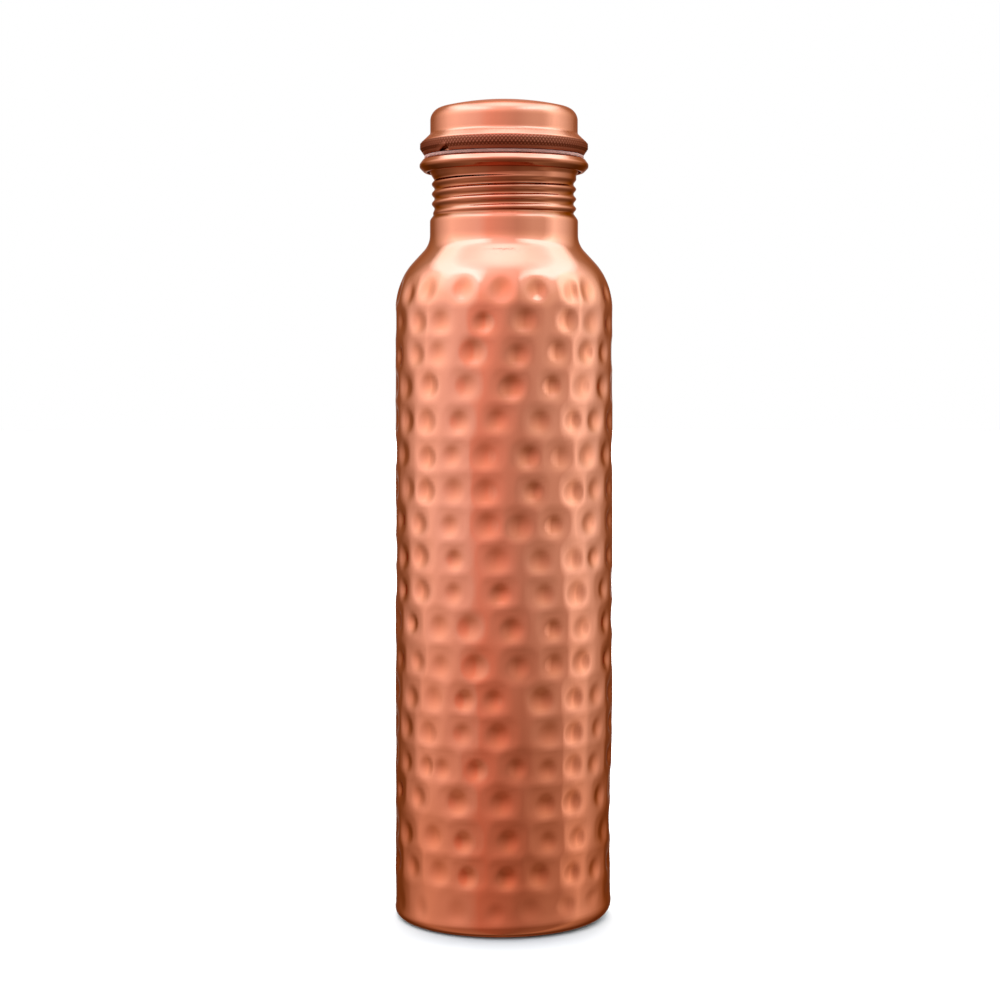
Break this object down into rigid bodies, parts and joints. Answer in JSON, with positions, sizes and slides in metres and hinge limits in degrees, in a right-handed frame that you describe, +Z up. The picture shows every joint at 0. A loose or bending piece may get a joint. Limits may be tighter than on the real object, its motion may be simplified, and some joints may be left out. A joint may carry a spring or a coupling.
{
  "type": "copper water bottle",
  "caption": "Slim hammered copper water bottle with a rolled screw neck, a curled lip and a hollow screw cap with a knurled grip ring and silicone washer.",
  "frame": {"origin": "middle of the standing ring, in the plane the bottle stands on", "axes": "+Z up along the bottle's axis; the cap's ring joint is on the side towards -X and -Y"},
  "size_m": [0.073, 0.073, 0.2727],
  "materials": {
    "body_copper": "hammered, satin brushed copper",
    "cap_copper": "satin brushed copper",
    "ring_copper": "knurled copper, darkened in the cuts",
    "silicone": "matte translucent mauve-grey silicone"
  },
  "bodies": {
    "bottle": {"body_shell": "body_copper", "base_plate": "body_copper"},
    "washer": {"gasket": "silicone"},
    "cap": {"knurled_ring": "ring_copper", "cap_shell": "cap_copper", "cap_plug": "cap_copper"}
  },
  "joints": [
    {"name": "cap_lift", "type": "slide", "parent": "bottle", "child": "washer", "axis": [0, 0, 1], "range_m": [0, 0.0198]},
    {"name": "cap_turn", "type": "hinge", "parent": "washer", "child": "cap", "pos_m": [0, 0, 0.2539], "axis": [0, 0, 1], "range_deg": [0, 2160]}
  ],
  "couplings": [
    {"joint": "cap_lift", "follows": "cap_turn", "m_per_rad": 0.00052521}
  ]
}
